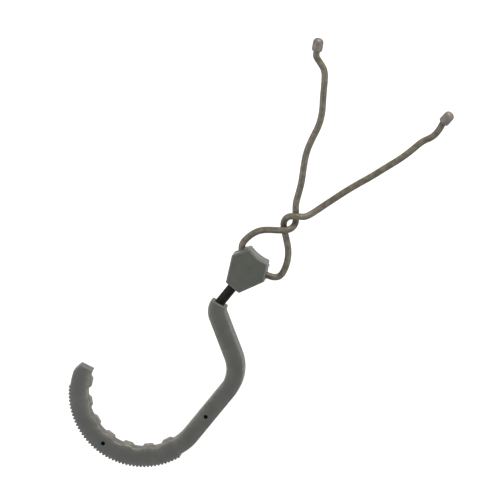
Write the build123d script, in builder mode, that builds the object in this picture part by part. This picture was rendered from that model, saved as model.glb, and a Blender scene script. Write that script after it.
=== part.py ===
"""Swivelling utility hook that hangs from a bendable tie. Sizes in millimetres.

The hook lies on its back: +Z is the front, +Y runs up the swivel axis towards the tie,
and +X points to the side of the hook's shank. The origin is on the flat back of the head,
level with the swivel axis and halfway up the head.
"""

from build123d import *
from math import cos, degrees, hypot, pi, radians, sin, tan
import os

os.makedirs("parts", exist_ok=True)

# Hook: a bent steel rod inside a moulded cover of square section
rod_d = 8.0
cover_width = 14.2  # in the plane of the hook
cover_thick = 14.2  # front to back
cover_round = 1.2  # long edges of the cover
shank_offset = 49.8  # swivel axis to the middle of the shank
neck_corner = 40.5  # origin down to the corner where the neck leaves the axis
neck_slope = 30.5  # degrees below level
neck_bend = 11.3  # radii of the rod's middle line
elbow_bend = 29.2
bight_drop = 134.3  # origin down to the middle of the bight
bight_radius = 51.4
cover_start = 34.7  # origin down to the cover's upper end, on the swivel axis
cover_start_slope = 12.2  # degrees
tip_angle = 166.8  # round the bight from the shank to the end face
tip_skin = 9.0  # cover beyond the rod's end
tip_bevel_angle = 6.3  # the outer wall is planed off over this much of the bight
tip_bevel_depth = 3.1

# Grip pads on the inside of the bight
pad_count = 7
pad_first = 24.0  # degrees round from the shank
pad_pitch = 21.5
pad_height = 2.3
pad_top_width = 6.6
pad_foot_width = 10.2
pad_round = 0.8

# Fine teeth on the outside of the bight
teeth_first = 19.0
teeth_last = 148.3
tooth_count = 45
tooth_depth = 1.5
tooth_proud = 1.2  # tooth tips beyond the plain wall
tooth_flat = 0.3  # share of the pitch that is flat at the tip
teeth_set_back = 0.5  # from the cover's front and back
run_out_angle = 12.5  # flat between the shank and the first tooth
run_out_depth = 0.9

# Holes left by the pins that centre the rod in the mould
locating_hole_d = 3.2
bight_hole_angle = 88.9
shank_hole_drop = 114.6

# Head: two shells round the rod's upper end
head_thick = 18.0
head_low = 17.0  # origin down to the lower edge
head_low_half = 6.8
head_wide = 3.6  # origin up to the widest corners
head_wide_half = 16.9
head_high = 16.8
head_high_half = 9.5
head_hollow = 1.5  # dip in the upper edge
head_corner = 1.5
head_round = 0.9
joint_line = 0.2  # bevel on both shells where they meet

# Swivel stack, from the head's lower edge upwards
running_gap = 0.05
fit_gap = 0.1
rod_entry_wall = 2.2
bush_wall = 1.3
bush_length = 6.4
flange_overhang = 1.15  # beyond the bush's barrel
flange_thick = 1.6
end_play = 0.3
washer_wall = 2.2
washer_thick = 1.0
ring_thick = 0.9
ring_wall = 2.75
groove_depth = 0.8
rod_beyond_ring = 2.0
rod_end_bevel = 0.8
swivel_room_gap = 0.5  # round the bush's flange
swivel_room_end = 1.0  # free length past the rod's end

# Tie: steel wire in a rubber jacket, with a moulded cap on each end
tie_d = 5.4
tie_wire_d = 1.8
tie_level = 5.0  # height of the tie in its channel
tie_gap = 0.2
tie_lowest_out = 3.3  # where the tie leaves, along the upper side from the widest corner
tie_highest_out = 7.7
port_gap = 0.3
tie_middle = 4.6  # origin up to the tie at the middle of the head
channel_slack = 0.7
port_lip = 0.7
port_lip_width = 1.0
cap_d = 8.8
cap_length = 11.0
cap_socket = 4.5
cap_base_bevel = 1.1

# Screws that hold the shells together, driven from the back
screw_high_x, screw_high_y = 6.2, 12.2
screw_low_x, screw_low_y = 10.4, -1.5
screw_d = 2.4
screw_head_d = 4.2
screw_head_high = 1.7
screw_sunk = 1.0
screw_gap = 0.2
thread_bite = 0.2
screw_reach = 5.0  # thread in the front shell
screw_tip = 1.0
cross_width = 0.6
cross_length = 2.4
cross_depth = 0.9

# Pegs that line the shells up
peg_x, peg_y = 7.6, -10.8
peg_d = 1.8
peg_length = 2.2

# Pocket that keeps the moulding even behind the upper edge
pocket_width = 5.6
pocket_low, pocket_high = 9.8, 12.8
pocket_depth = 6.0

# The tie's route, chosen by hand: from the middle of the head out to each cap
tie_left_route = [
    (0.0, 4.6, 5.0), (-4.5, 4.6, 5.0), (-9.6, 5.8, 5.0), (-15.3, 11.6, 4.7),
    (-16.4, 16.6, 3.8), (-15.0, 24.6, 3.0), (-11.6, 31.6, 2.9), (-5.6, 37.2, 4.0),
    (0.4, 42.6, 8.6), (6.2, 48.2, 8.6), (7.2, 51.8, 5.8), (6.3, 55.4, 2.8),
    (2.0, 60.4, 2.7), (-3.2, 66.8, 2.7), (-6.2, 74.0, 2.7), (-10.6, 84.0, 2.7),
    (-17.0, 94.4, 2.7), (-23.2, 106.0, 2.7), (-26.4, 118.0, 2.7), (-28.6, 129.0, 2.7),
    (-33.4, 139.4, 2.7), (-40.4, 149.0, 2.7), (-46.6, 158.6, 2.7), (-52.8, 167.0, 2.7),
    (-59.6, 169.6, 2.7), (-65.8, 171.5, 3.3), (-68.0, 175.6, 4.4), (-70.2, 179.6, 4.4),
]
tie_right_route = [
    (0.0, 4.6, 5.0), (4.5, 4.6, 5.0), (10.5, 5.0, 5.0), (17.0, 6.9, 5.0),
    (21.8, 9.1, 4.6), (24.5, 12.8, 3.8), (23.6, 19.4, 3.1), (20.6, 27.0, 2.7),
    (15.4, 34.2, 2.7), (5.4, 42.2, 2.7), (-0.2, 47.0, 2.8), (-1.9, 51.1, 5.1),
    (-1.5, 55.3, 7.7), (0.4, 58.0, 8.6), (5.6, 61.8, 8.6), (9.6, 64.2, 6.3),
    (12.0, 69.0, 3.6), (14.4, 77.0, 2.7), (17.8, 88.4, 2.7), (21.4, 100.2, 2.7),
    (25.4, 111.6, 2.7), (30.2, 123.8, 2.7), (34.2, 136.0, 2.7), (39.2, 150.4, 2.7),
    (42.0, 162.6, 2.7), (43.6, 172.6, 2.7), (48.0, 180.6, 2.7), (48.4, 188.6, 2.9),
    (47.0, 195.2, 4.4), (47.2, 199.8, 4.4),
]

# What follows from the sizes above
rod_r = rod_d / 2
tie_r = tie_d / 2
mid_z = head_thick / 2
cover_back = mid_z - cover_thick / 2
cover_front = mid_z + cover_thick / 2
bight_x = shank_offset - bight_radius
inner_wall = bight_radius - cover_width / 2
outer_wall = bight_radius + cover_width / 2
neck_fall = shank_offset * tan(radians(neck_slope))

bush_bore_r = rod_r + running_gap
bush_r = bush_bore_r + bush_wall
flange_r = bush_r + flange_overhang
washer_bore_r = rod_r + fit_gap
groove_r = rod_r - groove_depth
ring_bore_r = groove_r + running_gap
ring_r = ring_bore_r + ring_wall
bush_start = -head_low + rod_entry_wall
bush_end = bush_start + bush_length
flange_end = bush_end + flange_thick
washer_start = flange_end + end_play
washer_end = washer_start + washer_thick
ring_start = washer_end + running_gap
ring_end = ring_start + ring_thick
rod_top = ring_end + running_gap + rod_beyond_ring
swivel_room_top = rod_top + swivel_room_end

port_start = tie_lowest_out - tie_r - port_gap
port_end = tie_highest_out + tie_r + port_gap
channel_low = tie_middle - tie_r - channel_slack
channel_high = tie_middle + tie_r + channel_slack
channel_floor = tie_level - tie_r - tie_gap
channel_roof = tie_level + tie_r + tie_gap


def round_bight(radius, angle):
    """The point at a radius, and at an angle turned clockwise from the shank."""
    return (
        bight_x + radius * cos(radians(angle)),
        -bight_drop - radius * sin(radians(angle)),
    )


def across_axis(y):
    """A plane square to the swivel axis, looking up it."""
    return Plane(origin=(0, y, mid_z), x_dir=(1, 0, 0), z_dir=(0, 1, 0))


def on_upper_side(along, side):
    """The point that far up a slanted upper side from the widest corner; side is 1 or -1."""
    run_x = head_high_half - head_wide_half
    run_y = head_high - head_wide
    share = along / hypot(run_x, run_y)
    return (side * (head_wide_half + run_x * share), head_wide + run_y * share)


def rod_line(top, last_angle):
    """The rod's middle line, from a height on the swivel axis to an angle in the bight."""
    with BuildLine() as line:
        bends = FilletPolyline(
            (0, top, mid_z),
            (0, -neck_corner, mid_z),
            (shank_offset, -neck_corner - neck_fall, mid_z),
            (shank_offset, -bight_drop, mid_z),
            radius=[neck_bend, elbow_bend],
        )
        middle = round_bight(bight_radius, last_angle / 2)
        end = round_bight(bight_radius, last_angle)
        ThreePointArc(bends @ 1, (*middle, mid_z), (*end, mid_z))
    return line.line


# Steel core of the hook
core_angle = tip_angle - degrees(tip_skin / bight_radius)
with BuildPart() as hook_core:
    with BuildSketch(across_axis(rod_top)):
        Circle(rod_r)
    sweep(path=rod_line(rod_top, core_angle))
    top_rim = hook_core.edges().filter_by(GeomType.CIRCLE).sort_by(Axis.Y)[-1]
    chamfer(top_rim, rod_end_bevel)
    with BuildSketch(across_axis(ring_start - running_gap)):
        Circle(rod_r + 1)
        Circle(groove_r, mode=Mode.SUBTRACT)
    extrude(amount=ring_thick + 2 * running_gap, mode=Mode.SUBTRACT)
hook_core.part.label = "hook_core"

# Moulded cover: the plain bar first, then the teeth, the pads and the holes
with BuildPart() as hook_cover:
    bar_top = -neck_corner + cover_width
    with BuildSketch(across_axis(bar_top)):
        RectangleRounded(cover_width, cover_thick, cover_round)
    sweep(path=rod_line(bar_top, tip_angle))
    start_plane = Plane(
        origin=(0, -cover_start, mid_z),
        z_dir=(-sin(radians(cover_start_slope)), cos(radians(cover_start_slope)), 0),
    )
    split(bisect_by=start_plane, keep=Keep.BOTTOM)
    start_edges = hook_cover.faces().sort_by_distance(start_plane.origin)[0].edges()
    fillet(start_edges, cover_round * 0.75)

    # The last of the outer wall is planed off towards the tip
    bevel_start = tip_angle - tip_bevel_angle
    with BuildSketch(Plane.XY.offset(cover_back - 1)):
        with BuildLine():
            Polyline(
                round_bight(outer_wall, bevel_start),
                round_bight(outer_wall - tip_bevel_depth, tip_angle),
                round_bight(outer_wall - tip_bevel_depth, tip_angle + 2),
                round_bight(outer_wall + 3, tip_angle + 2),
                round_bight(outer_wall + 3, bevel_start),
                close=True,
            )
        make_face()
    extrude(amount=cover_thick + 2, mode=Mode.SUBTRACT)
    tip_middle = (*round_bight(bight_radius, tip_angle), mid_z)
    tip_edges = hook_cover.faces().sort_by_distance(tip_middle)[0].edges()
    fillet(tip_edges, cover_round * 0.5)

    # A flat runs from the shank in under the first tooth
    run_out_start = teeth_first - run_out_angle
    with BuildSketch(Plane.XY.offset(cover_back - 1)):
        with BuildLine():
            Polyline(
                round_bight(outer_wall, run_out_start),
                round_bight(outer_wall - run_out_depth, teeth_first),
                round_bight(outer_wall + 3, teeth_first),
                round_bight(outer_wall + 3, run_out_start),
                close=True,
            )
        make_face()
    extrude(amount=cover_thick + 2, mode=Mode.SUBTRACT)

    # Teeth: one closed outline, a flat tip and a V between each pair
    tooth_pitch = (teeth_last - teeth_first) / tooth_count
    tip_radius = outer_wall + tooth_proud
    root_radius = tip_radius - tooth_depth
    tooth_points = []
    for number in range(tooth_count):
        root_angle = teeth_first + number * tooth_pitch
        tip_start = root_angle + tooth_pitch * (1 - tooth_flat) / 2
        tooth_points.append(round_bight(root_radius, root_angle))
        tooth_points.append(round_bight(tip_radius, tip_start))
        tooth_points.append(round_bight(tip_radius, tip_start + tooth_pitch * tooth_flat))
    tooth_points.append(round_bight(root_radius, teeth_last))
    teeth_middle = (teeth_first + teeth_last) / 2
    teeth_bed = outer_wall - 3
    with BuildSketch(Plane.XY.offset(cover_back + teeth_set_back)):
        with BuildLine():
            Polyline(*tooth_points)
            Line(tooth_points[-1], round_bight(teeth_bed, teeth_last))
            ThreePointArc(
                round_bight(teeth_bed, teeth_last),
                round_bight(teeth_bed, teeth_middle),
                round_bight(teeth_bed, teeth_first),
            )
            Line(round_bight(teeth_bed, teeth_first), tooth_points[0])
        make_face()
    extrude(amount=cover_thick - 2 * teeth_set_back)

    # Grip pads: blocks with sloping flanks, as deep as the cover
    pad_foot = pad_foot_width / 2
    pad_top = pad_top_width / 2
    pad_rise = pad_height + cover_round
    for number in range(pad_count):
        pad_angle = radians(pad_first + number * pad_pitch)
        pad_centre = round_bight(inner_wall + cover_round, degrees(pad_angle))
        along_wall = (sin(pad_angle), cos(pad_angle), 0)
        with BuildSketch(Plane((*pad_centre, cover_back), x_dir=along_wall)) as pad_outline:
            with BuildLine():
                Polyline(
                    (-pad_foot, 0), (-pad_foot, cover_round), (-pad_top, pad_rise),
                    (pad_top, pad_rise), (pad_foot, cover_round), (pad_foot, 0), close=True,
                )
            make_face()
            fillet(pad_outline.vertices().group_by(Axis.Y)[-1], pad_round)
        extrude(amount=cover_thick)

    # Room for the core, and the holes down to it
    add(hook_core.part, mode=Mode.SUBTRACT)
    hole_depth = cover_thick / 2 - rod_r * 0.7
    hole_spots = [
        round_bight(bight_radius, bight_hole_angle),
        (shank_offset, -shank_hole_drop),
    ]
    for face_plane in (Plane.XY.offset(cover_back), Plane.XY.offset(cover_front)):
        inward = hole_depth if face_plane.origin.Z < mid_z else -hole_depth
        with BuildSketch(face_plane):
            with Locations(*hole_spots):
                Circle(locating_hole_d / 2)
        extrude(amount=inward, mode=Mode.SUBTRACT)
hook_cover.part.label = "hook_cover"

# Swivel stack: bush in the head, washer and ring on the rod
with BuildPart() as swivel_bush:
    with BuildSketch(across_axis(bush_start)):
        Circle(bush_r)
    extrude(amount=bush_length)
    with BuildSketch(across_axis(bush_end)):
        Circle(flange_r)
    extrude(amount=flange_thick)
    with BuildSketch(across_axis(bush_start)):
        Circle(bush_bore_r)
    extrude(amount=bush_length + flange_thick, mode=Mode.SUBTRACT)
    flange_rim = swivel_bush.edges().filter_by(GeomType.CIRCLE).group_by(SortBy.RADIUS)[-1]
    chamfer(flange_rim, flange_thick * 0.2)
swivel_bush.part.label = "swivel_bush"

with BuildPart() as thrust_washer:
    with BuildSketch(across_axis(washer_start)):
        Circle(washer_bore_r + washer_wall)
        Circle(washer_bore_r, mode=Mode.SUBTRACT)
    extrude(amount=washer_thick)
thrust_washer.part.label = "thrust_washer"

# The ring is pushed on from the back, so its mouth opens that way, and it has two plier holes
ring_mouth = ring_bore_r * 1.7
plier_hole_r = ring_wall / 3
with BuildPart() as retaining_ring:
    with BuildSketch(across_axis(ring_start)):
        Circle(ring_r)
        Circle(ring_bore_r, mode=Mode.SUBTRACT)
        with Locations((0, ring_r)):
            Rectangle(ring_mouth, 2 * ring_r, mode=Mode.SUBTRACT)
        with PolarLocations(ring_r - ring_wall / 2, 2, start_angle=15, angular_range=150, endpoint=True):
            Circle(plier_hole_r, mode=Mode.SUBTRACT)
    extrude(amount=ring_thick)
retaining_ring.part.label = "retaining_ring"

# Cutters shared by the two shells
with BuildPart() as swivel_room:
    with BuildSketch(across_axis(-head_low - 1)):
        Circle(rod_r + 4 * fit_gap)
    extrude(amount=rod_entry_wall + 2)
    with BuildSketch(across_axis(bush_start)):
        Circle(bush_r)
    extrude(amount=bush_length)
    with BuildSketch(across_axis(bush_end)):
        Circle(flange_r + swivel_room_gap)
    extrude(amount=swivel_room_top - bush_end)


def channel_outline(shrink):
    """The tie's channel seen from the front, narrowed all round by a clearance."""
    right_low = on_upper_side(port_start + shrink, 1)
    right_high = on_upper_side(port_end - shrink, 1)
    left_low = on_upper_side(port_start + shrink, -1)
    left_high = on_upper_side(port_end - shrink, -1)
    with BuildSketch() as outline:
        with BuildLine():
            ThreePointArc(left_low, (0, channel_low + shrink), right_low)
            Line(right_low, right_high)
            ThreePointArc(right_high, (0, channel_high - shrink), left_high)
            Line(left_high, left_low)
        make_face()
    return outline.sketch


with BuildPart() as tie_room:
    add(Plane.XY.offset(channel_floor) * channel_outline(0))
    extrude(amount=channel_roof - channel_floor)
    # the channel runs on out through the wall and any lip round the port
    for side in (1, -1):
        low_x, low_y = on_upper_side(port_start, side)
        high_x, high_y = on_upper_side(port_end, side)
        out_x, out_y = (high_y - low_y) * side, (low_x - high_x) * side
        reach = 3 * port_lip / hypot(out_x, out_y)
        with BuildSketch(Plane.XY.offset(channel_floor)):
            with BuildLine():
                Polyline(
                    (low_x, low_y),
                    (high_x, high_y),
                    (high_x + out_x * reach, high_y + out_y * reach),
                    (low_x + out_x * reach, low_y + out_y * reach),
                    close=True,
                )
            make_face()
        extrude(amount=channel_roof - channel_floor)

screw_spots = [
    (screw_high_x, screw_high_y), (-screw_high_x, screw_high_y),
    (screw_low_x, screw_low_y), (-screw_low_x, screw_low_y),
]
peg_spots = [(peg_x, peg_y), (-peg_x, peg_y)]

# The head's outline: a hexagon with rounded corners and a hollow upper edge
with BuildSketch() as head_outline:
    with BuildLine():
        Polyline(
            (-head_high_half, head_high), (-head_wide_half, head_wide),
            (-head_low_half, -head_low), (head_low_half, -head_low),
            (head_wide_half, head_wide), (head_high_half, head_high),
        )
        ThreePointArc(
            (head_high_half, head_high), (0, head_high - head_hollow), (-head_high_half, head_high)
        )
    make_face()
    fillet(head_outline.vertices(), head_corner)

with BuildSketch() as coring:
    with Locations((0, (pocket_low + pocket_high) / 2)):
        RectangleRounded(pocket_width, pocket_high - pocket_low, 0.6)


def port_lips():
    """Raised lips round the two ports, below the joint between the shells."""
    with BuildPart() as lips:
        for side in (1, -1):
            low_x, low_y = on_upper_side(port_end - port_lip_width, side)
            high_x, high_y = on_upper_side(port_end + port_lip_width, side)
            out_x, out_y = (high_y - low_y) * side, (low_x - high_x) * side
            reach = port_lip / hypot(out_x, out_y)
            with BuildSketch(Plane.XY.offset(channel_floor - port_lip_width)):
                with BuildLine():
                    Polyline(
                        (low_x - out_x * reach, low_y - out_y * reach),
                        (low_x + out_x * reach, low_y + out_y * reach),
                        (high_x + out_x * reach * 0.7, high_y + out_y * reach * 0.7),
                        (high_x - out_x * reach, high_y - out_y * reach),
                        close=True,
                    )
                make_face()
            extrude(amount=mid_z - joint_line - channel_floor + port_lip_width)
    return lips.part


with BuildPart() as back_shell:
    add(head_outline.sketch)
    extrude(amount=mid_z)
    fillet(back_shell.faces().sort_by(Axis.Z)[0].edges(), head_round)
    chamfer(back_shell.faces().sort_by(Axis.Z)[-1].edges(), joint_line)
    add(port_lips())
    add(swivel_room.part, mode=Mode.SUBTRACT)
    add(tie_room.part, mode=Mode.SUBTRACT)
    # the channel is open to the joint, where the front shell's rib closes it
    add(Plane.XY.offset(channel_floor) * channel_outline(0))
    extrude(amount=mid_z - channel_floor, mode=Mode.SUBTRACT)
    with BuildSketch(Plane.XY):
        with Locations(*screw_spots):
            Circle(screw_d / 2 + screw_gap)
    extrude(amount=mid_z, mode=Mode.SUBTRACT)
    with BuildSketch(Plane.XY):
        with Locations(*screw_spots):
            Circle(screw_head_d / 2 + fit_gap)
    extrude(amount=screw_sunk + screw_head_high, mode=Mode.SUBTRACT)
    with BuildSketch(Plane.XY.offset(mid_z)):
        with Locations(*peg_spots):
            Circle(peg_d / 2 + fit_gap)
    extrude(amount=-(peg_length + 3 * fit_gap), mode=Mode.SUBTRACT)
    add(Plane.XY.offset(mid_z) * coring.sketch)
    extrude(amount=-pocket_depth, mode=Mode.SUBTRACT)
back_shell.part.label = "back_shell"

with BuildPart() as front_shell:
    add(Plane.XY.offset(mid_z) * head_outline.sketch)
    extrude(amount=mid_z)
    fillet(front_shell.faces().sort_by(Axis.Z)[-1].edges(), head_round)
    chamfer(front_shell.faces().sort_by(Axis.Z)[0].edges(), joint_line)
    add(swivel_room.part, mode=Mode.SUBTRACT)
    # a rib reaches into the channel and leaves only the tie's room below it
    add(Plane.XY.offset(channel_floor) * channel_outline(fit_gap))
    extrude(amount=mid_z - channel_floor + joint_line)
    add(tie_room.part, mode=Mode.SUBTRACT)
    with BuildSketch(Plane.XY.offset(mid_z)):
        with Locations(*screw_spots):
            Circle(screw_d / 2 - thread_bite)
    extrude(amount=screw_reach + screw_tip + fit_gap, mode=Mode.SUBTRACT)
    with BuildSketch(Plane.XY.offset(mid_z)):
        with Locations(*peg_spots):
            Circle(peg_d / 2)
    extrude(amount=-peg_length)
    add(Plane.XY.offset(mid_z) * coring.sketch)
    extrude(amount=pocket_depth, mode=Mode.SUBTRACT)
front_shell.part.label = "front_shell"

# Screws
screw_seat = screw_sunk + screw_head_high
screw_end = mid_z + screw_reach
with BuildPart() as one_screw:
    with BuildSketch(Plane.XY.offset(screw_sunk)):
        Circle(screw_head_d / 2)
    extrude(amount=screw_head_high)
    chamfer(one_screw.edges().sort_by(Axis.Z)[0], screw_head_high * 0.3)
    with BuildSketch(Plane.XY.offset(screw_seat)):
        Circle(screw_d / 2)
    extrude(amount=screw_end - screw_seat)
    chamfer(one_screw.edges().sort_by(Axis.Z)[-1], screw_d * 0.35)
    with BuildSketch(Plane.XY.offset(screw_sunk)):
        Rectangle(cross_length, cross_width)
        Rectangle(cross_width, cross_length)
    extrude(amount=cross_depth, mode=Mode.SUBTRACT)

with BuildPart() as shell_screws:
    with Locations(*[(spot_x, spot_y, 0) for spot_x, spot_y in screw_spots]):
        add(one_screw.part)
shell_screws.part.label = "shell_screws"


def turn_radii(route):
    """The radius at each point of a route: 0.45 of the shorter run over tan(half the turn)."""
    points = [Vector(*point) for point in route]
    runs = [end - start for start, end in zip(points, points[1:])]
    radii = []
    for before, after in zip(runs, runs[1:]):
        half_turn = radians(before.get_angle(after)) / 2
        radii.append(0.45 * min(before.length, after.length) / tan(half_turn))
    return radii


def tie_line(route):
    """The tie's middle line: straight runs joined by tangent arcs."""
    with BuildLine() as line:
        FilletPolyline(*route, radius=turn_radii(route))
    return line.wire()


def tie_tube(route, outer_d, inner_d, name):
    """A length of the tie, or of its wire when the inner diameter is nothing."""
    line = tie_line(route)
    with BuildPart() as tube:
        with BuildSketch(Plane(origin=line @ 0, z_dir=line % 0)):
            Circle(outer_d / 2)
            if inner_d:
                Circle(inner_d / 2, mode=Mode.SUBTRACT)
        sweep(path=line)
    tube.part.label = name
    expected = pi * (outer_d**2 - inner_d**2) / 4 * line.length
    print(f"{name}: {line.length:.1f} long, volume {tube.part.volume:.0f} of {expected:.0f}")
    return tube


def tie_cap(route, name):
    """The rounded cap moulded on a tie's end, in line with its last run."""
    last, before_last = Vector(*route[-1]), Vector(*route[-2])
    heading = (last - before_last).normalized()
    base = Plane(origin=last - heading * cap_socket, z_dir=heading)
    radius = cap_d / 2
    shoulder = cap_length - radius
    with BuildPart() as cap:
        with BuildSketch(Plane(origin=base.origin, x_dir=base.x_dir, z_dir=-base.y_dir)):
            with BuildLine():
                Polyline(
                    (0, cap_length), (0, 0), (radius - cap_base_bevel, 0),
                    (radius, cap_base_bevel), (radius, shoulder),
                )
                CenterArc((0, shoulder), radius, 0, 90)
            make_face()
        revolve(axis=Axis(base.origin, base.z_dir))
        with BuildSketch(base):
            Circle(tie_r)
        extrude(amount=cap_socket, mode=Mode.SUBTRACT)
    cap.part.label = name
    return cap


for name, route in (("left", tie_left_route), ("right", tie_right_route)):
    tightest = " ".join(f"{radius:.1f}" for radius in turn_radii(route))
    print(f"{name} tie radii: {tightest}")

tie_left = tie_tube(tie_left_route, tie_d, tie_wire_d, "tie_left")
tie_right = tie_tube(tie_right_route, tie_d, tie_wire_d, "tie_right")
tie_wire_left = tie_tube(tie_left_route, tie_wire_d, 0, "tie_wire_left")
tie_wire_right = tie_tube(tie_right_route, tie_wire_d, 0, "tie_wire_right")
tie_cap_left = tie_cap(tie_left_route, "tie_cap_left")
tie_cap_right = tie_cap(tie_right_route, "tie_cap_right")

for piece in (
    hook_core, hook_cover, swivel_bush, thrust_washer, retaining_ring,
    back_shell, front_shell, shell_screws,
    tie_left, tie_right, tie_wire_left, tie_wire_right, tie_cap_left, tie_cap_right,
):
    export_step(piece.part, f"parts/{piece.part.label}.step")
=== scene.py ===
import math

import bpy
import numpy as np
from mathutils import Matrix, Vector


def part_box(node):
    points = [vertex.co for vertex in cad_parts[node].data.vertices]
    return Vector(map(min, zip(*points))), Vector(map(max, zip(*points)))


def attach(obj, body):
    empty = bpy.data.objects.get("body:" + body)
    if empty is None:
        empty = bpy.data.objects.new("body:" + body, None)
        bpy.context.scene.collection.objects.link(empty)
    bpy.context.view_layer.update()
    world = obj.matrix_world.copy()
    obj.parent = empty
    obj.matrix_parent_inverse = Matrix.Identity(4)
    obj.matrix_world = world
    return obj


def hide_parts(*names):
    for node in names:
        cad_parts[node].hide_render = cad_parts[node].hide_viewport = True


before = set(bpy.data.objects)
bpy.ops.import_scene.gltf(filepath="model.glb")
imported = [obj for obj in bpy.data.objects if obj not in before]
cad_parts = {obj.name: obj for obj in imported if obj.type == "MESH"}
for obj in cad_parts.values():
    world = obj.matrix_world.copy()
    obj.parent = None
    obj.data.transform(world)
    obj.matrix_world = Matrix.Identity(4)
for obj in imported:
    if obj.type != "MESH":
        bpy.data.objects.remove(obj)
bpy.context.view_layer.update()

# The hook lies on its back: +Z is the front, +Y runs up the swivel axis towards the tie, and +X
# is the shank's side. The origin is on the back of the head. Blender's unit here is the metre.
mm = 0.001

scene = bpy.context.scene
scene.view_settings.view_transform = "Standard"


# Camera: looks down on the hook, tilted a little towards the tie, and rolled. Angles are in
# degrees, and across is the width of the view in metres
cameraView = dict(aim=(-0.0081, 0.0147, 0.009), heading=6.24, tilt=-13.0, roll=33.0, lens=800, across=0.4034)


def makeCamera(c):
    data = bpy.data.cameras.new("camera")
    data.lens = c["lens"]
    turn = (
        Matrix.Rotation(math.radians(c["heading"]), 4, "Z")
        @ Matrix.Rotation(math.radians(c["tilt"]), 4, "X")
        @ Matrix.Rotation(math.radians(c["roll"]), 4, "Z")
    )
    distance = c["across"] * c["lens"] / data.sensor_width
    camera = bpy.data.objects.new("camera", data)
    camera.matrix_world = Matrix.Translation(Vector(c["aim"])) @ turn @ Matrix.Translation((0, 0, distance))
    data.clip_end = distance * 4  # far past the floor
    scene.collection.objects.link(camera)
    scene.camera = camera


makeCamera(cameraView)
print("camera made")


# Tie: each half is one smooth spline from the middle of the head to its cap. Diameters and the
# cap's sizes are in millimetres; exits, lengths and routes are in metres
tie = dict(
    diameter=5.4, steps=12, jacketColumns=28,
    exitLeft=(-0.0135, 0.00975, 0.005), exitRight=(0.0155, 0.0064, 0.005),
    lengthLeft=0.222, lengthRight=0.237,
    capDiameter=8.8, capLength=11.0, capSocket=4.5, capBevel=0.9, capTaper=0.985, capColumns=40,
    grooveWidth=0.2, grooveDepth=1.6, domeHeight=4.1, domeBluntness=2.25, domeSteps=13,
)
tieLeftRoute = [
    (0.0000, 0.0046, 0.0050), (-0.0045, 0.0046, 0.0050), (-0.0096, 0.0058, 0.0050),
    (-0.0153, 0.0116, 0.0047), (-0.0164, 0.0166, 0.0038), (-0.0150, 0.0246, 0.0030),
    (-0.0116, 0.0316, 0.0029), (-0.0056, 0.0372, 0.0040), (0.0004, 0.0426, 0.0086),
    (0.0062, 0.0482, 0.0086), (0.0072, 0.0518, 0.0058), (0.0063, 0.0554, 0.0028),
    (0.0020, 0.0604, 0.0027), (-0.0032, 0.0668, 0.0027), (-0.0062, 0.0740, 0.0027),
    (-0.0106, 0.0840, 0.0027), (-0.0170, 0.0944, 0.0027), (-0.0232, 0.1060, 0.0027),
    (-0.0264, 0.1180, 0.0027), (-0.0286, 0.1290, 0.0027), (-0.0334, 0.1394, 0.0027),
    (-0.0404, 0.1490, 0.0027), (-0.0466, 0.1586, 0.0027), (-0.0528, 0.1670, 0.0027),
    (-0.0596, 0.1696, 0.0027), (-0.0658, 0.1715, 0.0033), (-0.0680, 0.1756, 0.0044),
    (-0.0702, 0.1796, 0.0044),
]
tieRightRoute = [
    (0.0000, 0.0046, 0.0050), (0.0045, 0.0046, 0.0050), (0.0105, 0.0050, 0.0050),
    (0.0170, 0.0069, 0.0050), (0.0218, 0.0091, 0.0046), (0.0245, 0.0128, 0.0038),
    (0.0236, 0.0194, 0.0031), (0.0206, 0.0270, 0.0027), (0.0154, 0.0342, 0.0027),
    (0.0054, 0.0422, 0.0027), (-0.0002, 0.0470, 0.0028), (-0.0019, 0.0511, 0.0051),
    (-0.0015, 0.0553, 0.0077), (0.0004, 0.0580, 0.0086), (0.0056, 0.0618, 0.0086),
    (0.0096, 0.0642, 0.0063), (0.0120, 0.0690, 0.0036), (0.0144, 0.0770, 0.0027),
    (0.0178, 0.0884, 0.0027), (0.0214, 0.1002, 0.0027), (0.0254, 0.1116, 0.0027),
    (0.0302, 0.1238, 0.0027), (0.0342, 0.1360, 0.0027), (0.0392, 0.1504, 0.0027),
    (0.0420, 0.1626, 0.0027), (0.0436, 0.1726, 0.0027), (0.0480, 0.1806, 0.0027),
    (0.0484, 0.1886, 0.0029), (0.0470, 0.1952, 0.0044), (0.0472, 0.1998, 0.0044),
]


def smoothLine(route, steps):
    # A NURBS spline of order 3 with the route's points as its control points, read as points
    curve = bpy.data.curves.new("route", "CURVE")
    curve.dimensions = "3D"
    spline = curve.splines.new("NURBS")
    spline.points.add(len(route) - 1)
    spline.points.foreach_set("co", np.array([(*point, 1.0) for point in route]).ravel())
    spline.order_u = 3
    spline.use_endpoint_u = True
    spline.resolution_u = steps
    carrier = bpy.data.objects.new("route", curve)
    line = bpy.data.meshes.new_from_object(carrier)
    points = np.empty(len(line.vertices) * 3)
    line.vertices.foreach_get("co", points)
    bpy.data.meshes.remove(line)
    bpy.data.objects.remove(carrier)
    bpy.data.curves.remove(curve)
    return points.reshape(-1, 3)


tieLeftLine = smoothLine(tieLeftRoute, tie["steps"])
tieRightLine = smoothLine(tieRightRoute, tie["steps"])
print("tie lines made", len(tieLeftLine), len(tieRightLine))


# Materials
def linear(hexColour):
    # sRGB to linear: a power of 2.4 with a straight foot
    channels = [int(hexColour[i:i + 2], 16) / 255 for i in (1, 3, 5)]
    return (*[c / 12.92 if c <= 0.04045 else ((c + 0.055) / 1.055) ** 2.4 for c in channels], 1.0)


def addNode(tree, kind, inputs=None, **settings):
    # inputs holds socket names or numbers, with a value or the socket that feeds it
    made = tree.nodes.new(kind)
    for key, value in settings.items():
        setattr(made, key, value)
    for key, value in (inputs or {}).items():
        if isinstance(value, bpy.types.NodeSocket):
            tree.links.new(value, made.inputs[key])
        else:
            made.inputs[key].default_value = value
    return made


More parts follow.
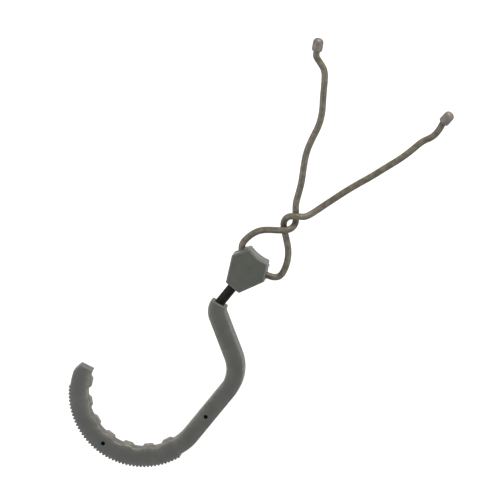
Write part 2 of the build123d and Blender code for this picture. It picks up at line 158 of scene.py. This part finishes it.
def newMaterial(name):
    material = bpy.data.materials.new(name)
    material.use_nodes = True
    material.node_tree.nodes.clear()
    return material, material.node_tree


noiseMiddle = (0.3, 0.7)  # nearly all of a noise lies between these
cloudMiddle = (0.35, 0.65)  # and most of it between these


def stretch(tree, value, low, high, outLow=0.0, outHigh=1.0):
    # Spreads a range of values over a new one
    return addNode(tree, "ShaderNodeMapRange", {
        "Value": value, "From Min": low, "From Max": high, "To Min": outLow, "To Max": outHigh}).outputs[0]


def blendColours(tree, share, first, second):
    return addNode(tree, "ShaderNodeMix", {0: share, 6: first, 7: second}, data_type="RGBA").outputs[2]


def noiseAt(tree, place, size, detail=3.0):
    # size is the width of one cloud in millimetres
    scale = 1 / (size * mm)
    clouds = addNode(tree, "ShaderNodeTexNoise", {"Vector": place, "Scale": scale, "Detail": detail})
    return clouds.outputs["Fac"]


edge = dict(reach=2.2, samples=8, fullyPale=0.8)  # reach is in millimetres, fullyPale is a cosine


def edgeWearAndHighlight(tree):
    # How far the surface's own direction is from that of the same surface with its edges well rounded
    # The pale edges this gives are partly scuffing and partly a painted highlight where the rounded edges
    # catch the light
    rounded = addNode(tree, "ShaderNodeBevel", {"Radius": edge["reach"] * mm}, samples=edge["samples"])
    plain = addNode(tree, "ShaderNodeNewGeometry")
    same = addNode(tree, "ShaderNodeVectorMath", {0: rounded.outputs[0], 1: plain.outputs["Normal"]},
                   operation="DOT_PRODUCT").outputs["Value"]
    return stretch(tree, same, 1.0, edge["fullyPale"])


def rubWearAndHighlight(tree):
    # The mesh's own measure of where hands and pipes scuff, which also paints a highlight along the rounded
    # edges
    return addNode(tree, "ShaderNodeAttribute", attribute_name="rubAndHighlight").outputs["Fac"]


def mouldedSurface(name, c, wearAndHighlightMask=None):
    # Two close colours in soft clouds, paler under a mask of scuffing and painted edge highlight, over a
    # fine grain. The sheen varies in clouds a third as wide
    material, tree = newMaterial(name)
    place = addNode(tree, "ShaderNodeTexCoord").outputs["Object"]
    clouds = noiseAt(tree, place, c["cloud"], detail=4.0)
    colour = blendColours(tree, stretch(tree, clouds, *cloudMiddle), linear(c["dark"]), linear(c["light"]))
    if wearAndHighlightMask:
        patches = stretch(tree, noiseAt(tree, place, c["wearPatch"]), *noiseMiddle, c["leastWear"], 1.0)
        paleWearAndHighlight = addNode(tree, "ShaderNodeMath", {0: wearAndHighlightMask(tree), 1: patches}, operation="MULTIPLY").outputs[0]
        colour = blendColours(tree, paleWearAndHighlight, colour, linear(c["paleWearAndHighlight"]))
    sheen = noiseAt(tree, place, c["cloud"] / 3)
    roughness = stretch(tree, sheen, *noiseMiddle, c["smoothest"], c["roughest"])
    bump = addNode(tree, "ShaderNodeBump", {
        "Height": noiseAt(tree, place, c["grain"]), "Distance": c["depth"] * mm, "Strength": 1.0})
    shader = addNode(tree, "ShaderNodeBsdfPrincipled", {
        "Base Color": colour, "Roughness": roughness, "Normal": bump.outputs["Normal"],
        "Specular IOR Level": c["specular"]})
    addNode(tree, "ShaderNodeOutputMaterial", {"Surface": shader.outputs[0]})
    return material


# Glass-filled nylon moulded in a spark-eroded tool: a cool grey with a satin, finely pitted skin, paler
# along its edges, partly from scuffing and partly as a painted highlight where the rounded edges catch the
# light. The real pits are 0.1 mm; they are drawn at 0.8 mm so that they show
headNylon = mouldedSurface("headNylonSparkEroded", dict(
    dark="#20251f", light="#2b2b25", paleWearAndHighlight="#818276", cloud=9.0, wearPatch=3.0, leastWear=0.35,
    smoothest=0.4, roughest=0.5, grain=0.8, depth=0.02, specular=0.5), edgeWearAndHighlight)

# Thermoplastic rubber moulded over the rod: a matt warm grey, scuffed pale on its pads and teeth, and pale
# on its edges from scuffing and a painted highlight. Its real grain is 0.15 mm wide; it is drawn at 0.9 mm
# so that it shows
coverRubber = mouldedSurface("coverRubberOvermoulded", dict(
    dark="#20241f", light="#2a2a28", paleWearAndHighlight="#66625c", cloud=12.0, wearPatch=3.5, leastWear=0.35,
    smoothest=0.42, roughest=0.55, grain=0.9, depth=0.03, specular=0.5), rubWearAndHighlight)

# A softer rubber in olive, extruded over the wire: faintly mottled, with a low sheen that lightens its
# sides. Its fine grain is drawn at 0.7 mm so that it shows
tieRubber = mouldedSurface("tieRubberExtruded", dict(
    dark="#2b261b", light="#454135", cloud=4.0, smoothest=0.45, roughest=0.6, grain=0.7, depth=0.04,
    specular=0.45))

# Taupe rubber moulded on the tie's ends: a smooth skin with a soft sheen on the dome. Its fine grain is
# drawn at 0.7 mm so that it shows
capRubber = mouldedSurface("capRubberMoulded", dict(
    dark="#3c3531", light="#4c4643", cloud=3.0, smoothest=0.4, roughest=0.55, grain=0.7, depth=0.04,
    specular=0.5))

# Carbon steel with a black oxide skin: nearly black, with a dull oily sheen
blackSteel = mouldedSurface("rodSteelBlackOxide", dict(
    dark="#080705", light="#100f0a", cloud=6.0, smoothest=0.4, roughest=0.55, grain=0.5, depth=0.01,
    specular=0.08))

# The same steel in a bright black zinc: a little glossier, with a faint blue cast
screwSteel = mouldedSurface("screwSteelBlackZinc", dict(
    dark="#0b0c0f", light="#14161a", cloud=2.0, smoothest=0.25, roughest=0.4, grain=0.4, depth=0.005,
    specular=0.5))

# Natural acetal, turned: a milky white with a waxy sheen
bushAcetal = mouldedSurface("bushAcetalTurned", dict(
    dark="#e4e2d8", light="#eeece4", cloud=6.0, smoothest=0.3, roughest=0.4, grain=0.4, depth=0.003,
    specular=0.5))


def bareSteel(name, c):
    # Metal with rings turned into it about the swivel axis: a wave of the distance from that axis. The wave
    # node turns 20 radians in one unit of its scale
    material, tree = newMaterial(name)
    place = addNode(tree, "ShaderNodeTexCoord").outputs["Object"]
    centred = addNode(tree, "ShaderNodeMapping", {"Vector": place, "Location": (0, 0, -c["axisHeight"])})
    scale = 2 * math.pi / 20 / (c["ringPitch"] * mm)
    rings = addNode(tree, "ShaderNodeTexWave", {
        "Vector": centred.outputs[0], "Scale": scale, "Distortion": c["waver"]},
        wave_type="RINGS", rings_direction="Y")
    colour = blendColours(tree, rings.outputs["Fac"], linear(c["dark"]), linear(c["light"]))
    sheen = noiseAt(tree, place, c["cloud"])
    roughness = stretch(tree, sheen, *noiseMiddle, c["smoothest"], c["roughest"])
    bump = addNode(tree, "ShaderNodeBump", {
        "Height": rings.outputs["Fac"], "Distance": c["depth"] * mm, "Strength": 1.0})
    shader = addNode(tree, "ShaderNodeBsdfPrincipled", {
        "Base Color": colour, "Metallic": 1.0, "Roughness": roughness, "Normal": bump.outputs["Normal"]})
    addNode(tree, "ShaderNodeOutputMaterial", {"Surface": shader.outputs[0]})
    return material


axisHeight = (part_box("swivel_bush")[0][2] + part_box("swivel_bush")[1][2]) / 2

# Stainless steel washer, faced on a lathe: bright, with rings 0.1 mm apart, drawn at 0.4 mm so that they
# show
washerSteel = bareSteel("washerSteelFaced", dict(
    dark="#a9aaa8", light="#c9cac8", axisHeight=axisHeight, ringPitch=0.4, waver=0.3, cloud=2.0, depth=0.004,
    smoothest=0.22, roughest=0.35))

# Spring steel ring, hardened and oiled: a dark blue-grey metal, smoother than the rod
springSteel = bareSteel("ringSpringSteelOiled", dict(
    dark="#4a4d52", light="#5c6066", axisHeight=axisHeight, ringPitch=0.8, waver=0.3, cloud=2.0, depth=0.002,
    smoothest=0.25, roughest=0.4))
print("materials made")


# Surfaces: every made mesh is a grid of rings, closed round and at both ends
def makeSkin(name, rings, body, material, rubAndHighlight=None):
    # rings is an array of ring, point round the ring, xyz in metres; a pole closes each end.
    # Seen from outside, the rings run on to the right as the points run round upwards.
    ringCount, roundCount = rings.shape[:2]
    poles = np.stack([rings[0].mean(axis=0), rings[-1].mean(axis=0)])
    points = np.concatenate([rings.reshape(-1, 3), poles])
    here = np.arange(ringCount * roundCount).reshape(ringCount, roundCount)
    beside = np.roll(here, -1, axis=1)
    quads = np.stack([here[:-1], here[1:], beside[1:], beside[:-1]], axis=-1).reshape(-1, 4)
    firstPole, lastPole = ringCount * roundCount, ringCount * roundCount + 1
    firstFan = np.stack([here[0], beside[0], np.full(roundCount, firstPole)], axis=-1)
    lastFan = np.stack([beside[-1], here[-1], np.full(roundCount, lastPole)], axis=-1)
    mesh = bpy.data.meshes.new(name)
    mesh.from_pydata(points, [], quads.tolist() + firstFan.tolist() + lastFan.tolist())
    mesh.polygons.foreach_set("use_smooth", np.ones(len(mesh.polygons), dtype=bool))
    # The pale mark: scuffing plus a painted edge highlight, kept as a point attribute
    if rubAndHighlight is not None:
        layer = mesh.attributes.new("rubAndHighlight", "FLOAT", "POINT")
        layer.data.foreach_set("value", np.concatenate([rubAndHighlight.ravel(), [0.0, 0.0]]).astype(np.float32))
    mesh.materials.append(material)
    piece = bpy.data.objects.new(name, mesh)
    scene.collection.objects.link(piece)
    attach(piece, body)
    return piece


# Tie jacket: a circle carried along the smooth line, upright all the way
def unit(vectors):
    return vectors / np.linalg.norm(vectors, axis=-1, keepdims=True)


def tubeRings(line, radius, roundCount):
    # Each ring is side * cos + up * sin, where side is level and square to the line
    forward = unit(np.gradient(line, axis=0))
    side = unit(np.cross(forward, [0, 0, 1.0]))
    up = np.cross(side, forward)
    t = np.linspace(0, 2 * math.pi, roundCount, endpoint=False)[:, None]
    return line[:, None] + radius * (np.cos(t) * side[:, None] + np.sin(t) * up[:, None])


# Tie caps: a rounded profile turned about the tie's last run
def capProfile(c):
    # Up the outside from a groove round the tie: a bevelled base, a straight wall, and a dome
    # whose radius and height follow cos and sin of the turn to the power 2 / bluntness. The small
    # steps in the base round its corners by 0.1 to 0.25 mm
    r = c["capDiameter"] / 2
    turn = np.linspace(0, math.pi / 2, c["domeSteps"] + 1)[:-1]
    share = 2 / c["domeBluntness"]
    dome = np.stack([r * c["capTaper"] * np.cos(turn) ** share,
                     c["capLength"] - c["domeHeight"] + c["domeHeight"] * np.sin(turn) ** share], axis=-1)
    groove = c["diameter"] / 2 + c["grooveWidth"]
    bevel = c["capBevel"]
    base = [(groove - 0.6, c["grooveDepth"]), (groove, c["grooveDepth"] - 0.1), (groove + 0.05, 0.25),
            (groove + 0.25, 0.0),
            (r - bevel - 0.1, 0.0), (r - bevel + 0.15, 0.06), (r - 0.15, bevel - 0.12), (r, bevel + 0.2)]
    return np.concatenate([base, dome])


def capRings(route, c):
    # Each ring is the profile's radius times side * cos + up * sin, at the profile's height up the heading
    end, before = np.array(route[-1]), np.array(route[-2])
    heading = unit(end - before)
    base = end - heading * c["capSocket"] * mm
    profile = capProfile(c) * mm
    side = unit(np.cross(heading, [0, 0, 1.0]))
    up = np.cross(side, heading)
    t = np.linspace(0, 2 * math.pi, c["capColumns"], endpoint=False)[:, None]
    ring = np.cos(t) * side + np.sin(t) * up
    return base + profile[:, 1, None, None] * heading + profile[:, 0, None, None] * ring


for name, route, line in (("Left", tieLeftRoute, tieLeftLine), ("Right", tieRightRoute, tieRightLine)):
    node = name.lower()
    rings = tubeRings(line, tie["diameter"] / 2 * mm, tie["jacketColumns"])
    jacket = makeSkin("tieJacket" + name, rings, "head", tieRubber)
    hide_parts("tie_" + node, "tie_wire_" + node)
    cap = makeSkin("tieCap" + name, capRings(route, tie), "head", capRubber)
    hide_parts("tie_cap_" + node)
print("tie made")


# Hook cover: a rounded square carried down the rod's path, swelling into pads and teeth. Lengths
# are in millimetres and angles in degrees. Angles round the bight start at the shank
cover = dict(
    width=14.2, innerRound=1.1, outerRound=0.8, leastRound=0.15, rodRadius=4.0,
    startDrop=34.7, startSlope=12.2, neckCorner=40.5, neckSlope=30.5, neckBend=11.3, elbowBend=29.2,
    bightBend=51.4, tipAngle=166.8, tipBevelAngle=6.3, tipBevel=3.1, startRound=1.6, tipRound=0.6,
    padCount=7, padFirst=24.0, padPitch=21.5, padHeight=2.6, padTop=6.6, padFoot=10.2, padSoft=0.45,
    padEdge=0.4,
    teethFirst=19.0, teethLast=148.3, toothCount=45, toothDepth=1.5, toothProud=1.2, toothFlat=0.3,
    runOutAngle=12.5, runOutDepth=0.9,
    holeAngle=88.9, holeDrop=114.6, holeRadius=1.75, holeDepth=3.6,
    # The pale corner and face-edge marks are partly scuffing and partly a painted highlight; the pad mark is
    # scuffing
    cornerWearAndHighlight=0.6, rubPad=0.5, innerEdgeWearAndHighlight=0.4, outerEdgeWearAndHighlight=0.2, edgeFadeReach=2.0,
    leadSteps=4, neckSteps=16, slopeSteps=26, elbowSteps=28, stepsPerTooth=8,
    faceColumns=36, wallColumns=10, cornerSteps=4, endSteps=4,
)
# Each locating hole goes outwards in square rings, level 0 to 8, from the middle of its floor. The rows give
# the radius and the depth of each level as shares of the hole's, and how far it is a circle and not a square
holeRadii = np.array([0, 0.5, 0.94, 0.97, 1.0, 1.12, 1.3, 1.5, 1.6])
holeDepths = np.array([1, 1, 1, 0.25, 0.02, 0, 0, 0, 0])
holeCircles = np.array([1, 1, 1, 1, 1, 1, 0.7, 0.35, 0])
holeRim = 5  # the first level outside the hole
coverLow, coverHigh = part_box("hook_cover")


def softSteps(distance, width, shape, samples=7):
    # The mean of a shape over a short window, which rounds its corners
    offsets = np.linspace(-width, width, samples)
    return shape(distance[..., None] + offsets).mean(axis=-1)


def coverSkin(c):
    # Each point is the path's point + outwards * p + front * q. The path is straight runs joined by bends,
    # and p and q go round a square with round corners, p growing by the teeth outside and the pads inside
    half = c["width"] / 2
    shankX = coverHigh[0] / mm - half
    bightY = coverLow[1] / mm + c["bightBend"] + half + c["toothProud"]
    midZ = (coverLow[2] + coverHigh[2]) / 2 / mm
    turn = math.radians(90 - c["neckSlope"])
    startTurn = math.radians(c["startSlope"])
    corner = math.tan(turn / 2)

    # The path's runs and bends in order: their lengths, the heading at each end, and the steps
    bendMiddle = np.array([c["neckBend"], -c["neckCorner"] + c["neckBend"] * corner])
    bendStart = bendMiddle - c["neckBend"] * np.array([math.cos(startTurn), math.sin(startTurn)])
    upwards = np.array([-math.sin(startTurn), math.cos(startTurn)])
    lead = (np.array([0, -c["startDrop"]]) - bendStart) @ upwards
    slopeRun = shankX / math.cos(math.radians(c["neckSlope"])) - (c["neckBend"] + c["elbowBend"]) * corner
    elbowEnd = -c["neckCorner"] - shankX * math.tan(math.radians(c["neckSlope"])) - c["elbowBend"] * corner
    toothPitch = (c["teethLast"] - c["teethFirst"]) / c["toothCount"]
    fineStep = c["bightBend"] * math.radians(toothPitch / c["stepsPerTooth"])
    bightEnds = np.radians([0, c["teethFirst"], c["teethLast"], c["tipAngle"]])
    lengths = np.array([
        lead, c["neckBend"] * (turn - startTurn), slopeRun, c["elbowBend"] * turn, elbowEnd - bightY,
        *np.diff(bightEnds) * c["bightBend"],
    ])
    headings = np.array([startTurn, startTurn, turn, turn, 0, *-bightEnds])
    steps = [
        c["leadSteps"], c["neckSteps"], c["slopeSteps"], c["elbowSteps"],
        round((elbowEnd - bightY) / fineStep),
        round(c["teethFirst"] / toothPitch * c["stepsPerTooth"]), c["toothCount"] * c["stepsPerTooth"],
        round((c["tipAngle"] - c["teethLast"]) / toothPitch * c["stepsPerTooth"]),
    ]
    breaks = np.concatenate([[0], np.cumsum(lengths)])
    along = np.concatenate([np.linspace(a, b, n, endpoint=False)
                            for a, b, n in zip(breaks, breaks[1:], steps)] + [breaks[-1:]])
    heading = np.interp(along, breaks, headings)

    # Each step of a constant bend is a chord in the mean direction, sinc(half turn) as long as its arc
    middle = (heading[1:] + heading[:-1]) / 2
    chord = np.diff(along) * np.sinc(np.diff(heading) / 2 / math.pi)
    travel = np.stack([np.sin(middle), -np.cos(middle)], axis=-1) * chord[:, None]
    path = bendStart + upwards * lead + np.concatenate([[[0, 0]], np.cumsum(travel, axis=0)])
    shankStart, bightStart = breaks[4], breaks[5]
    angle = np.degrees(np.maximum(along - bightStart, 0) / c["bightBend"])  # round the bight
    inBight = along > bightStart

    # Pads: a trapezoid at every pitch
    innerWall = c["bightBend"] - half
    padNumber = np.clip(np.round((angle - c["padFirst"]) / c["padPitch"]), 0, c["padCount"] - 1)
    fromPad = np.radians(angle - c["padFirst"] - padNumber * c["padPitch"]) * innerWall
    flank = (c["padFoot"] - c["padTop"]) / 2

    def padShape(d):
        return np.clip((c["padFoot"] / 2 - np.abs(d)) / flank, 0, 1)

    pad = softSteps(fromPad, c["padSoft"], padShape) * inBight

    # Teeth: a triangle wave with flat tips; a flat run leads in, and a bevel ends the hook
    phase = (angle - c["teethFirst"]) / toothPitch
    toothed = (phase >= 0) & (phase <= c["toothCount"])
    wave = np.clip((0.5 - np.abs(phase % 1 - 0.5)) / (0.5 - c["toothFlat"] / 2), 0, 1)
    tooth = np.where(toothed, wave * c["toothDepth"] + c["toothProud"] - c["toothDepth"], 0)
    runIn = np.clip((angle - c["teethFirst"] + c["runOutAngle"]) / c["runOutAngle"], 0, 1)
    runIn = np.where(phase < 0, runIn, 0) * c["runOutDepth"]
    bevel = np.clip((angle - c["tipAngle"] + c["tipBevelAngle"]) / c["tipBevelAngle"], 0, 1) * c["tipBevel"]
    outer = half + tooth - runIn - bevel

    # Section: p runs outwards from the bight and q to the front. Each point is a share of the
    # flat half-widths plus a corner arc, starting at the middle of the outer wall
    quarter = np.linspace(0, math.pi / 2, c["cornerSteps"] + 1)[1:-1]
    wall = np.linspace(-1, 1, c["wallColumns"] + 1)
    face = np.linspace(1, -1, c["faceColumns"] + 1)
    one = np.ones_like

    def halfRound(onWall, firstCorner, onFace, secondCorner):
        # The other half of the section is this one turned by half a turn
        firstHalf = np.concatenate([onWall, firstCorner, onFace, secondCorner])
        return np.concatenate([firstHalf, -firstHalf])

    shareP = halfRound(one(wall), one(quarter), face, -one(quarter))
    shareQ = halfRound(wall, one(quarter), one(face), one(quarter))
    arcP = halfRound(one(wall), np.cos(quarter), 0 * face, -np.sin(quarter))
    arcQ = halfRound(0 * wall, np.sin(quarter), one(face), np.cos(quarter))
    outside = shareP >= 0
    arc = np.where(outside, c["outerRound"], c["innerRound"])
    # Pads stand proud by their height times 1 - (1 - padEdge) |share of the thickness| to the 6th
    crown = np.where(outside, 0, 1 - (1 - c["padEdge"]) * abs(shareQ) ** 6)

    def section(inset):
        # The section of every ring, drawn in by an inset of one length for each ring
        corner = np.maximum(arc - inset[:, None], c["leastRound"])
        proud = crown * pad[:, None] * c["padHeight"]
        reach = np.where(outside, outer[:, None], half + proud) - inset[:, None]
        p = shareP * (reach - corner) + arcP * corner
        q = shareQ * (half - inset[:, None] - corner) + arcQ * corner
        return p, q

    p, q = section(np.zeros(len(along)))
    normal = np.stack([np.cos(heading), np.sin(heading), 0 * heading], axis=-1)
    forward = np.stack([np.sin(heading), -np.cos(heading), 0 * heading], axis=-1)
    centre = np.concatenate([path, np.full((len(path), 1), midZ)], axis=1)
    front = np.array([0, 0, 1.0])
    rings = centre[:, None] + p[..., None] * normal[:, None] + q[..., None] * front

    # Scuffing and painted highlight: strongest on the tooth tips, the long edges and the pad tops, fading
    # from the edges of the faces. The pale long edges and face edges are partly a painted highlight,
    # strongest along the inner edge
    onCorner = np.abs(arcP * arcQ) * 2
    onOuter = arcP > 0.99
    onInner = arcP < -0.99
    onTip = onOuter * np.clip(tooth / c["toothProud"], 0, 1)[:, None]
    rubAndHighlight = np.maximum(onCorner[None] * c["cornerWearAndHighlight"], onTip)
    rubAndHighlight = np.maximum(rubAndHighlight, onInner * pad[:, None] * c["rubPad"])
    fromInner = (shareP[None] + 1) * (half - c["innerRound"])
    fromOuter = (1 - shareP[None]) * (outer[:, None] - c["outerRound"])
    onFace = abs(arcQ) > 0.99
    innerFade = c["innerEdgeWearAndHighlight"] * np.exp(-fromInner / c["edgeFadeReach"])
    outerFade = c["outerEdgeWearAndHighlight"] * np.exp(-fromOuter / c["edgeFadeReach"])
    rubAndHighlight = np.maximum(rubAndHighlight, onFace * (innerFade + outerFade))

    # Locating holes: squares round the middle column sink and turn into circles
    level = len(holeRadii) - 1
    frontMiddle = len(wall) + len(quarter) + c["faceColumns"] // 2
    backMiddle = frontMiddle + len(shareP) // 2
    shankHole = shankStart + c["holeDrop"] + elbowEnd
    bightHole = bightStart + c["bightBend"] * math.radians(c["holeAngle"])
    square = np.arange(-level, level + 1)
    a, b = np.meshgrid(square, square, indexing="ij")
    ringLevel = np.maximum(abs(a), abs(b))
    length = np.maximum(np.hypot(a, b), 1e-9)
    for spot in (shankHole, bightHole):
        ring = int(np.argmin(abs(along - spot)))
        for column, side in ((frontMiddle, 1), (backMiddle, -1)):
            patch = np.ix_(ring + square, column + square)
            was = rings[patch]
            aim = was[level, level]
            acrossRings, acrossColumns = was[-1, level] - was[0, level], was[level, -1] - was[level, 0]
            acrossRings /= np.linalg.norm(acrossRings)
            acrossColumns /= np.linalg.norm(acrossColumns)
            out = (a[..., None] * acrossRings + b[..., None] * acrossColumns) / length[..., None]
            circle = aim + out * (holeRadii * c["holeRadius"])[ringLevel][..., None]
            share = holeCircles[ringLevel][..., None]
            sunk = (holeDepths * c["holeDepth"])[ringLevel][..., None] * front * side
            rings[patch] = was * (1 - share) + circle * share - sunk
            rubAndHighlight[patch] = np.where(ringLevel < holeRim, 0, rubAndHighlight[patch])

    # Ends: rounded over, then drawn in to the rod at the start and closed at the tip
    def endRings(end, roundness, closing, inwards):
        # closing lists how far each ring inside the end face is a circle, its radius and its depth
        turns = np.linspace(0, math.pi / 2, c["endSteps"] + 1)[1:]
        made = []
        for t in turns:
            p, q = section(np.full(len(along), roundness * (1 - math.cos(t))))
            shift = inwards * roundness * (1 - math.sin(t))
            made.append(centre[end] + p[end][:, None] * normal[end] + q[end][:, None] * front
                        + forward[end] * shift)
        rim = made[-1] - centre[end]
        direction = rim / np.linalg.norm(rim, axis=1, keepdims=True)
        for share, radius, depth in closing:
            ring = rim * (1 - share) + direction * radius * share
            made.append(centre[end] + ring + forward[end] * inwards * depth)
        return np.array(made)

    r = c["rodRadius"]
    startClosing = [(0.5, r + 0.5, 0), (0.85, r + 0.4, 0), (1, r + 0.25, 0), (1, r + 0.05, 0.3),
                    (1, r - 0.3, 1.2), (1, r / 2, 1.2)]
    tipClosing = [(0.4, 1.5, 0), (0.75, 1.5, 0), (1, 1.5, 0), (1, 0.7, 0)]
    startRings = endRings(0, c["startRound"], startClosing, 1)[::-1]
    tipRings = endRings(-1, c["tipRound"], tipClosing, -1)
    startSkip = int(np.searchsorted(along, c["startRound"]))
    tipSkip = int(np.searchsorted(-along[::-1], -(along[-1] - c["tipRound"])))
    body = rings[startSkip:len(rings) - tipSkip]
    bodyWearAndHighlight = rubAndHighlight[startSkip:len(rings) - tipSkip]
    flat = np.zeros((1, len(shareP)))
    everyRing = np.concatenate([startRings, body, tipRings])
    startWearAndHighlight = flat.repeat(len(startRings), axis=0)
    tipWearAndHighlight = flat.repeat(len(tipRings), axis=0)
    everyWearAndHighlight = np.concatenate([startWearAndHighlight, bodyWearAndHighlight, tipWearAndHighlight])
    # The section is turned round so that the faces point outwards
    return everyRing[:, ::-1] * mm, everyWearAndHighlight[:, ::-1]


coverRings, coverWearAndHighlight = coverSkin(cover)
hookCover = makeSkin("hookCoverMoulding", coverRings, "hook", coverRubber, coverWearAndHighlight)
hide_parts("hook_cover")
print("cover made", len(hookCover.data.polygons))


# The CAD's own pieces get their materials
for node, material in (
    ("front_shell", headNylon), ("back_shell", headNylon),
    ("hook_core", blackSteel), ("shell_screws", screwSteel), ("swivel_bush", bushAcetal),
    ("thrust_washer", washerSteel), ("retaining_ring", springSteel),
):
    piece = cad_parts[node]
    for slotNumber in range(len(piece.material_slots)):
        piece.material_slots[slotNumber].material = material
print("CAD pieces given their materials")


# Floor and light: a pale floor that the light brings up to white, an even sky, and three soft lamps.
# The floor is below the hook's swing, so that the hook shows whole as it turns
studio = dict(
    floor=0.52, glow=0.15, floorSize=14.0, floorDrop=0.08, sky=1.05,
    lamps=[  # name, towards, distance and width in metres, power in watts, colour
        ("key", (-0.3, 0.9, 0.36), 1.6, 1.2, 46, "#fff4e2"),
        ("right", (0.9, 0.35, 0.5), 1.6, 1.0, 12, "#ffffff"),
        ("left", (-0.7, -0.6, 0.7), 0.8, 0.6, 5.5, "#f2f6ff"),
    ],
)
floorMaterial, floorTree = newMaterial("paleFloor")
floorShader = addNode(floorTree, "ShaderNodeBsdfPrincipled", {
    "Base Color": (*[studio["floor"]] * 3, 1), "Roughness": 0.9, "Specular IOR Level": 0.1,
    "Emission Color": (1, 1, 1, 1), "Emission Strength": studio["glow"]})
addNode(floorTree, "ShaderNodeOutputMaterial", {"Surface": floorShader.outputs[0]})
floorMesh = bpy.data.meshes.new("floor")
edgeAt, floorAt = studio["floorSize"] / 2, -studio["floorDrop"]
corners = [(x * edgeAt, y * edgeAt, floorAt) for x, y in ((-1, -1), (1, -1), (1, 1), (-1, 1))]
floorMesh.from_pydata(corners, [], [(0, 1, 2, 3)])
floorMesh.materials.append(floorMaterial)
floor = bpy.data.objects.new("floor", floorMesh)
scene.collection.objects.link(floor)

world = bpy.data.worlds.new("studio")
scene.world = world
world.use_nodes = True
world.node_tree.nodes["Background"].inputs[0].default_value = (1, 1, 1, 1)
world.node_tree.nodes["Background"].inputs[1].default_value = studio["sky"]


def makeLight(name, towards, distance, width, power, colour):
    data = bpy.data.lights.new(name, "AREA")
    data.shape = "DISK"
    data.size = width
    data.energy = power
    data.color = linear(colour)[:3]
    light = bpy.data.objects.new(name, data)
    direction = Vector(towards).normalized()
    light.location = direction * distance
    light.rotation_mode = "QUATERNION"
    light.rotation_quaternion = direction.to_track_quat("Z", "Y")
    scene.collection.objects.link(light)


for lamp in studio["lamps"]:
    makeLight(*lamp)
print("studio made")

bpy.context.view_layer.update()
